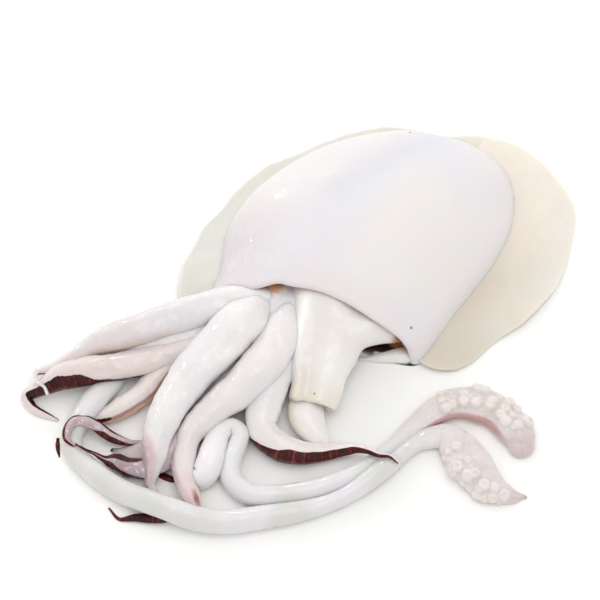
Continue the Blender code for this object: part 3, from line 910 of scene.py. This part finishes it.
inner_middle = arm(
    "arm_inner_middle",
    (
        (-31, 10, 0, 7), (-29, -4, 5, 8.2), (-26.5, -14, 6.7, 9.5), (-23, -29, 7, 10.4),
        (-23, -47, 6, 10.4), (-27, -61, 5, 9.0), (-32, -76, 4, 7.6), (-34, -89, 3, 6.5),
        (-31, -99, 3, 5.7), (-27, -106, 3, 5.1), (-21, -112, 4, 4.6), (-15, -116, 5, 4.1),
        (-12, -118, 5.5, 3.2),
    ),
    161,
    {
        "stain": (((0.5, -40, 30), (0.65, -40, 34), (0.8, -40, 30)),),
        "mauve_and_side_shade": (((0.3, -40, 24), (0.5, -40, 40), (0.85, -40, 40)),),
        "bruise": (((0.95, 96, 132), (0.978, 90, 138)),),
        "blush": (((0.86, 20, 60), (0.93, 20, 70), (1, 0, 90)),),
    },
    {
        "blush": ((0, 0), (0.5, 0.05), (0.86, 0.2), (0.94, 0.9), (1, 0.9)),
        "cream_and_shade": ((0, 0), (0.4, 0.1), (0.8, 0.3), (1, 0.4)),
    },
    flatness=0.8,
)
right_arm = arm(
    "arm_right",
    (
        (-20, -14, 4, 7), (-20, -22, 4, 7.3), (-16, -41, 3, 8.0), (-12, -57, 1, 8.2),
        (-7, -68, 0, 7.6), (3, -71, 0, 7), (14, -69, 0, 6.2), (23, -63, 0, 5), (30, -57, 1, 3.8),
        (36, -53, 3.5, 2.8), (42.5, -51.5, 6, 2.1), (48, -51.5, 8, 1.6), (53.5, -49.5, 9, 1.1),
        (58, -50, 8.5, 0.6),
    ),
    171,
    {
        "stain": (
            (
                (0.42, 180, 250), (0.5, 138, 250), (0.58, 106, 250), (0.7, 104, 250),
                (0.8, 102, 250), (1, 70, 260),
            ),
        ),
    },
    {
        "cream_and_shade": ((0, 0.1), (0.35, 0.15), (0.5, 0.3), (1, 0.3)),
        "blush": ((0, 0), (0.4, 0), (0.5, 0.1), (1, 0.4)),
    },
    mirrored=True,
)

# %% [markdown]
# ## Tentacles and clubs
#
# Two long feeding tentacles come out between the arms and run round the front to their clubs.
# They are rounder and smoother than the arms, so the same limb serves with less swelling on it.
# The inner one makes a tight loop on its way, and is paler there.

# %% The tentacles
TENTACLES = {
    "outer": (
        (-30, -24, 5, 4.4), (-58, -50, 1, 5), (-78, -65, -3, 4.6), (-84, -74, -3, 4.8),
        (-83, -84, -2, 5.6), (-84, -95, 0, 6.1), (-84, -107, 0, 6), (-83, -117, 0, 5.2),
        (-78, -124, 0, 5), (-66, -128, 0, 5.4), (-47, -130, 0, 5.7), (-28, -128, 3, 5.8),
        (-2, -121, 0.5, 6.0), (20, -104, 0, 5.7), (42, -80, 0, 4.3), (55, -48, 0, 4.2),
        (57, -42, -0.6, 3), (59, -36, -1.5, 1.6),
    ),
    "inner": (
        (-25, -27, 4, 4.4), (-32, -61, 0, 4.9), (-34, -84, 0, 4.4), (-32, -96, -1, 4.2),
        (-26, -103, -1.5, 4.6), (-18, -104, -0.5, 6.2), (-18, -97, 0.5, 6.8), (-21, -88, 1.5, 6.1),
        (-22, -80, 3, 5.1), (-19, -75, 4, 4.3), (-14, -76, 4, 4.3), (-12, -82, 2.5, 4.5),
        (-10, -90, 1, 4.9), (-5, -97, 0, 5.3), (5, -99, 0, 5.4), (18, -92, 0, 5.2),
        (34, -76, 0, 4.7), (46, -56, 0, 3.8), (48, -49, -0.6, 2.8), (50, -42, -1.5, 1.5),
    ),
}
tentacles = []
for seed, (name, route) in enumerate(TENTACLES.items(), 181):
    rows = limb_rows(route, 0.92, sides=52)[0]
    rows = on_floor(fleshy(rows, 0.18, 10, seed))
    arch = bump_at(rows[..., 0], -19, 9) * bump_at(rows[..., 1], -92, 18)
    tentacles.append(closed_skin(f"tentacle_{name}", rows, {"pale": arch}))

# %% [markdown]
# A club is a paddle with suckers. They could be separate rings, but out of focus they are only
# soft knobs. So they are raised from the club's own skin, in jittered rows of mixed sizes.

# %% The clubs
CLUBS = {
    "outer": (
        (54, -52, -0.2, 4.2), (60, -32, 0, 4.8), (69, -24, 0, 7.2), (78, -26, 0, 9.3),
        (86, -30, 0, 10.2), (95, -34, 0, 9.2), (104, -35, 0, 6.8), (111, -33, 0, 3.8),
        (116, -30, 0, 1.2),
    ),
    "inner": (
        (45, -58, -0.2, 3.9), (51, -38, 0, 4.2), (54, -25, 0, 5.0), (58, -14, 0, 6.6),
        (64, -6, 0, 7.8), (73, -1, 0, 8.6), (83, 1, 0, 8.8), (93, -2, 0, 8.6), (99, -5, 0, 8.0),
        (102, -8, 0, 6.6),
    ),
}
CLUB_FLATNESS = (0.92, 0.5)
SUCKERS = {"outer": ((0.5, 0.86, 7), (14, 46, 78)), "inner": ((0.5, 0.9, 9), (80, 112, 144))}
SUCKER_RADIUS = 2.4
SUCKER_HEIGHT = 1.2


def sucker_relief(rows, shares, turns, seed):
    """Soft knobs at every pair of shares along a skin and turns round it, a little jittered.

    A knob is 1 near its centre and 0 past its radius, with a dimple in the middle of some,
    and its height grows with its radius. Where two knobs meet, the higher one shows.
    """
    random = np.random.default_rng(seed)
    share, turn = (grid.ravel() for grid in np.meshgrid(np.linspace(*shares), turns, indexing="ij"))
    i = (share + random.uniform(-0.02, 0.02, share.shape)) * (len(rows) - 1)
    j = (turn + random.uniform(-9, 9, turn.shape)) / 360 * rows.shape[1]
    centres = rows[i.astype(int), j.astype(int) % rows.shape[1]]
    radius = SUCKER_RADIUS * random.uniform(0.5, 1.45, len(centres))
    dimple = random.uniform(0, 0.35, len(centres))
    away = np.linalg.norm(rows[:, :, None] - centres, axis=3) / radius
    knob = 1 - smooth_step(away, 0.5, 1.15) - dimple * (1 - smooth_step(away, 0.1, 0.45))
    return (SUCKER_HEIGHT * radius / SUCKER_RADIUS * np.maximum(knob, 0)).max(axis=2)


clubs = []
for seed, (name, route) in enumerate(CLUBS.items(), 191):
    rows, turn, share, _ = limb_rows(route, CLUB_FLATNESS, step=0.5, sides=110)
    rows = fleshy(rows, 0.45, 7, seed)
    top = smooth_step(np.sin(np.radians(turn)), 0.1, 0.6) * smooth_step(share, 0.3, 0.5)
    folds = 0.45 * lumps(rows, 3.4, seed + 9) + 0.25 * lumps(rows, 1.5, seed + 19)
    knobs = sucker_relief(rows, *SUCKERS[name], seed + 110)
    rows = rows + outward(rows) * (top * folds + knobs)[..., None]
    turn = (turn + 180) % 360 - 180
    # The keel band: partly the club's own pink skin, partly painted shade of its underside.
    keel_tint_and_shade = smooth_step(turn, -60, -20) * (1 - smooth_step(turn, 26, 46)) * (name == "inner")
    keel_tint_and_shade = keel_tint_and_shade * smooth_step(share, 0.15, 0.35) * (1 - smooth_step(share, 0.8, 0.95))
    stalk = 1 - smooth_step(share, 0.15, 0.45)
    tip = smooth_step(share, 0.8, 1.0) + 1.5 * smooth_step(share, 0.97, 1.0) * (name == "outer")
    tones = {"keel_tint_and_shade": keel_tint_and_shade, "tip": tip, "stalk": stalk, "sucker": knobs / SUCKER_HEIGHT}
    clubs.append(closed_skin(f"club_{name}", on_floor(rows), tones))

# %% [markdown]
# ## Materials
#
# Node trees read best as formulas. A small class wraps a socket, so that adding, taking away
# and multiplying write the Math nodes, and one method makes any other node.

# %% Writing shaders as formulas
class Wire:
    """An output socket. Arithmetic on it adds Math nodes to the same tree."""

    def __init__(self, finish, socket):
        self.finish = finish
        self.socket = socket

    def math(self, operation, first, second):
        return self.finish.node("ShaderNodeMath", {"operation": operation}, {0: first, 1: second})

    def __add__(self, other):
        return self.math("ADD", self, other)

    def __radd__(self, other):
        return self.math("ADD", other, self)

    def __rsub__(self, other):
        return self.math("SUBTRACT", other, self)

    def __mul__(self, other):
        return self.math("MULTIPLY", self, other)

    def __rmul__(self, other):
        return self.math("MULTIPLY", other, self)


class Finish:
    """A material in the making, with a Principled shader and the nodes that feed it."""

    def __init__(self, name):
        self.material = bpy.data.materials.new(name)
        self.material.use_nodes = True
        self.tree = self.material.node_tree
        self.shader = self.tree.nodes["Principled BSDF"]
        self.place = self.node("ShaderNodeTexCoord", output="Object")

    def node(self, kind, settings=None, values=None, output=0):
        """Adds a node: its settings first, then its sockets' values or links. Returns an output."""
        made = self.tree.nodes.new(kind)
        for name, value in (settings or {}).items():
            setattr(made, name, value)
        for name, value in (values or {}).items():
            self.feed(made.inputs[name], value)
        return Wire(self, made.outputs[output])

    def feed(self, socket, value):
        """Links a wire to the socket, or sets the socket's own value."""
        if isinstance(value, Wire):
            self.tree.links.new(value.socket, socket)
        else:
            socket.default_value = value

    def noise(self, scale, detail=2.0):
        """Noise from 0 to 1 over the object's coordinates, with scale swellings to a metre."""
        values = {"Vector": self.place, "Scale": scale, "Detail": detail}
        return self.node("ShaderNodeTexNoise", None, values)

    def tone(self, name):
        """The number kept with the points under that name."""
        return self.node("ShaderNodeAttribute", {"attribute_name": name}, output="Fac")

    def step(self, value, low, high):
        """0 below low, 1 above high, and smooth between."""
        settings = {"interpolation_type": "SMOOTHSTEP"}
        values = {"Value": value, "From Min": low, "From Max": high}
        return self.node("ShaderNodeMapRange", settings, values)

    def mixed(self, share, first, second):
        """The first colour where share is 0, and the second where it is 1."""
        settings = {"data_type": "RGBA"}
        return self.node("ShaderNodeMix", settings, {0: share, 6: first, 7: second}, output=2)

    def patches(self, scale, detail, low, high, first, second):
        """Soft patches of two colours, by a step of noise between low and high."""
        return self.mixed(self.step(self.noise(scale, detail), low, high), first, second)

    def wet_flesh(self, colour, rough, bump, soft=0.55, wet=0.85):
        """Sets the shader: soft flesh under a thin wet coat, which lies on it in small flecks."""
        flecks = self.step(self.noise(230, 2), 0.45, 0.57)
        values = {"Base Color": colour, "Roughness": rough, "Normal": bump}
        values |= {"Subsurface Weight": soft, "Subsurface Radius": (1.0, 0.7, 0.55)}
        values |= {"Subsurface Scale": 0.004, "Coat Weight": wet * (0.25 + 0.75 * flecks)}
        values |= {"Coat Roughness": 0.07, "IOR": 1.4, "Specular IOR Level": 0.3}
        for name, value in values.items():
            self.feed(self.shader.inputs[name], value)

    def distance(self, place):
        """How far a point is from the place, in metres."""
        values = {0: self.place, 1: place}
        return self.node("ShaderNodeVectorMath", {"operation": "DISTANCE"}, values, output="Value")

    def specks(self, colour_so_far, places, radius):
        """Tiny dark spots: each is 1 near its place and 0 past the radius, both in metres."""
        for place in places:
            spot = 0.75 * (1 - self.step(self.distance(place), radius * 0.5, radius))
            colour_so_far = self.mixed(spot, colour_so_far, colour(70, 58, 60))
        return colour_so_far

    def relief(self, fine, coarse, depth):
        """Bumps of that depth in metres: half of fine noise and half of coarse."""
        height = self.noise(fine, 3) * 0.5 + self.noise(coarse, 2) * 0.5
        values = {"Height": height, "Distance": depth, "Strength": 1.0}
        return self.node("ShaderNodeBump", None, values)

    def dress(self, *pieces):
        """Puts the material on the pieces."""
        for piece in pieces:
            piece.data.materials.append(self.material)


def colour(red, green, blue):
    """A colour from screen values of 0 to 255, as the linear numbers that shaders use."""
    screen = np.array([red, green, blue]) / 255
    linear = np.where(screen <= 0.04045, screen / 12.92, ((screen + 0.055) / 1.055) ** 2.4)
    return (*linear.tolist(), 1.0)


# %% [markdown]
# ### Mantle
#
# Firm white muscle, a little pink here, in patches as wide as a thumb. Painted shade makes it blue
# grey along the groove in its back and a darker mauve grey at its left front. Inside the cavity the
# upper wall is painted golden brown and the rest a maroon that is nearly black: painted shade in
# the recess.

# %% The mantle's finish
finish = Finish("mantle_flesh")
white = finish.patches(22, 1, 0.35, 0.65, colour(223, 219, 223), colour(226, 222, 220))
# Painted shade: blue grey along the groove in the back.
white = finish.mixed(0.55 * finish.tone("groove_shade"), white, colour(211, 213, 223))
# Painted shade: darker mauve grey on the mantle's left front.
white = finish.mixed(finish.tone("mauve_and_side_shade"), white, colour(212, 205, 208))
white = finish.mixed(0.35 * finish.tone("blush"), white, colour(216, 206, 207))
# Painted shade inside the cavity: maroon near black deep in, golden brown on the wall.
deep_in = finish.step(finish.tone("deep"), 0.0, 0.12)
painted_cavity_shade = finish.mixed(deep_in, colour(44, 15, 12), colour(34, 10, 9))
painted_cavity_shade = finish.mixed(finish.tone("wall_shade"), painted_cavity_shade, colour(176, 112, 62))
shade = finish.mixed(finish.step(finish.tone("inside"), 0.45, 0.95), white, painted_cavity_shade)
shade = finish.specks(shade, mantle_specks, radius=0.0009)
wet = 0.1 + 0.8 * finish.tone("wet")
relief = finish.relief(900, 260, 0.0003)
finish.wet_flesh(shade, 0.36 + 0.12 * finish.noise(60, 2), relief, wet=wet)
finish.dress(mantle)
print("materials:", len(bpy.data.materials))

# %% [markdown]
# ### Fin
#
# The fin is thinner and creamier than the mantle and paler at its edge. Where it meets the mantle
# it is a darker beige, partly its own tint and partly painted shade; low beside the mantle it is
# painted darker, painted shade, and towards the tail lighter, painted light.

# %% The fin's finish
finish = Finish("fin_flesh")
out_share = finish.tone("edge")
# Darker beige near the mantle: partly the fin's own tint, partly painted shade.
cream_and_shade = finish.mixed(finish.step(out_share, 0.3, 1.0), colour(213, 203, 189), colour(225, 220, 213))
cream_and_shade = finish.patches(30, 2, 0.4, 0.65, cream_and_shade, colour(222, 214, 201))
# Painted shade low beside the mantle, then painted light towards the tail.
cream_and_shade = finish.mixed(0.8 * finish.tone("low"), cream_and_shade, colour(208, 199, 185))
cream_and_shade = finish.mixed(0.7 * finish.tone("high"), cream_and_shade, colour(236, 226, 216))
cream_and_shade = finish.mixed(finish.tone("left"), cream_and_shade, colour(217, 216, 209))
cream_and_shade = finish.specks(cream_and_shade, fin_specks, radius=0.0008)
relief = finish.relief(700, 160, 0.0004)
finish.wet_flesh(cream_and_shade, 0.4 + 0.1 * finish.noise(70, 2), relief, wet=0.1)
finish.dress(fin)

# %% [markdown]
# ### Arms
#
# White flesh, then cream, blush and mauve, and over them peach ribbons and the maroon strips of
# skin. The skin shows paler lines across it, where it was folded, and a mottle of darker cells.

# %% The arms' finish
finish = Finish("arm_flesh")
soft = finish.noise(90, 2)
white = finish.patches(40, 1, 0.35, 0.65, colour(224, 222, 224), colour(230, 227, 226))
white = finish.mixed(finish.tone("cream_and_shade") * (0.5 + 0.5 * soft), white, colour(217, 202, 190))
white = finish.mixed(finish.tone("blush") * (0.25 + 0.6 * soft), white, colour(196, 150, 152))
white = finish.mixed(finish.tone("mauve_and_side_shade") * (0.4 + 0.6 * soft), white, colour(146, 120, 132))
flecks = finish.step(finish.noise(420, 2), 0.56, 0.66) * finish.tone("mauve_and_side_shade")
white = finish.mixed(0.6 * flecks, white, colour(226, 216, 222))
white = finish.mixed(finish.tone("peach"), white, colour(208, 178, 158))
white = finish.mixed(0.9 * finish.tone("bruise"), white, colour(124, 64, 56))
white = finish.mixed(0.8 * finish.tone("ribbon"), white, colour(150, 100, 92))
across = finish.node(
    "ShaderNodeTexNoise",
    {"noise_dimensions": "1D"},
    {"W": finish.tone("along"), "Scale": 0.55, "Detail": 1.5},
)
mottle = finish.step(0.6 * across + 0.4 * finish.noise(500, 2), 0.48, 0.72)
skin = finish.mixed(mottle, colour(64, 6, 8), colour(130, 48, 44))
skin = finish.patches(120, 1, 0.5, 0.7, skin, colour(40, 4, 9))
shade = finish.mixed(finish.step(finish.tone("stain"), 0.35, 0.65), white, skin)
wet = 1 - 0.8 * finish.tone("stain")
relief = finish.relief(1100, 320, 0.0004)
finish.wet_flesh(shade, 0.34 + 0.12 * finish.noise(110, 2), relief, wet=wet)
arms = [outer_left, second_left, third_left, fourth_left, inner_left, web_left]
arms += [*scraps, *webs, long_middle, inner_middle, right_arm]
finish.dress(*arms)

# %% [markdown]
# ### Head, tentacles, clubs and funnel
#
# These share the arms' recipe: two near whites in soft patches, tinted by tones, under a wet
# coat with fine relief. Each has its own tints: brown painted shade by the cavity, pink along the
# club's keel, partly its own colour and partly painted shade, and cream at the funnel's end and,
# as painted shade, on the lobe's left side.

# %% Their finishes
finish = Finish("head_flesh")
white = finish.patches(60, 1, 0.4, 0.65, colour(218, 217, 222), colour(225, 222, 224))
# Painted shade: orange brown where the head goes under the rim.
white = finish.mixed(finish.step(finish.tone("gap_shade"), 0.3, 0.8), white, colour(222, 172, 138))
relief = finish.relief(1000, 300, 0.0004)
finish.wet_flesh(white, 0.34 + 0.12 * finish.noise(110, 2), relief)
finish.dress(head)

finish = Finish("tentacle_flesh")
white = finish.patches(35, 1, 0.35, 0.65, colour(208, 208, 202), colour(219, 217, 220))
white = finish.mixed(finish.tone("pale"), white, colour(232, 229, 233))
relief = finish.relief(1000, 300, 0.0003)
finish.wet_flesh(white, 0.33 + 0.12 * finish.noise(110, 2), relief, soft=0.5)
finish.dress(*tentacles)

finish = Finish("club_flesh")
white = finish.patches(90, 2, 0.35, 0.65, colour(214, 206, 200), colour(220, 212, 213))
white = finish.mixed(0.5 * finish.tone("sucker"), white, colour(226, 220, 216))
white = finish.mixed(finish.tone("stalk"), white, colour(214, 213, 213))
# Pink along the keel: partly its own colour, partly painted shade.
white = finish.mixed(0.9 * finish.tone("keel_tint_and_shade"), white, colour(188, 144, 142))
white = finish.mixed(0.5 * finish.tone("tip"), white, colour(190, 168, 174))
relief = finish.relief(900, 300, 0.0005)
finish.wet_flesh(white, 0.36 + 0.12 * finish.noise(110, 2), relief)
finish.dress(*clubs)

finish = Finish("funnel_flesh")
white = finish.patches(45, 1, 0.35, 0.65, colour(225, 220, 216), colour(229, 226, 223))
# Cream at the funnel's end, and on the lobe's left side, where it is painted shade.
white = finish.mixed(0.8 * finish.tone("cream_and_shade"), white, colour(217, 208, 194))
# Painted highlight: near white along the fold.
white = finish.mixed(0.8 * finish.tone("ridge_highlight"), white, colour(249, 248, 248))
# Painted shade: brown on the collar in the gap under the rim.
white = finish.mixed(finish.step(finish.tone("gap_shade"), 0.1, 0.9), white, colour(150, 94, 56))
white = finish.specks(white, funnel_specks, radius=0.0007)
relief = finish.relief(900, 260, 0.0003)
finish.wet_flesh(white, 0.35 + 0.12 * finish.noise(80, 2), relief, soft=0.5)
finish.dress(funnel, funnel_lobe, lower_lip)

# %% [markdown]
# ## The floor
#
# A white sheet takes soft shadows and fades into the sky. In the bay beside the funnel a soft
# shadow falls, and a wide, soft pool of grey painted into the material stands in for it: painted
# shadow, made without another lamp.

# %% The floor
FLOOR_REACH = 3.0
SHADE_POOL = (0.022, -0.048, 0.0)
SHADE_POOL_REACH = 0.075
corners = np.array([[-1, -1, 0], [1, -1, 0], [1, 1, 0], [-1, 1, 0]]) * FLOOR_REACH - (0, 0, 0.0001)
plane = bpy.data.meshes.new("floor")
plane.from_pydata(corners.tolist(), [], [(0, 1, 2, 3)])
floor = bpy.data.objects.new("floor", plane)
bpy.context.scene.collection.objects.link(floor)
finish = Finish("floor_white")
grain = finish.noise(40, 2)
white = finish.mixed(grain, colour(247, 247, 245), colour(249, 249, 248))
away = finish.distance(SHADE_POOL)
# Painted shadow: the floor is greyer near the pool's middle, fading out at its reach.
white = finish.mixed(1 - finish.step(away, SHADE_POOL_REACH / 4, SHADE_POOL_REACH), white, colour(236, 236, 234))
finish.feed(finish.shader.inputs["Base Color"], white)
finish.feed(finish.shader.inputs["Roughness"], 0.7)
finish.dress(floor)
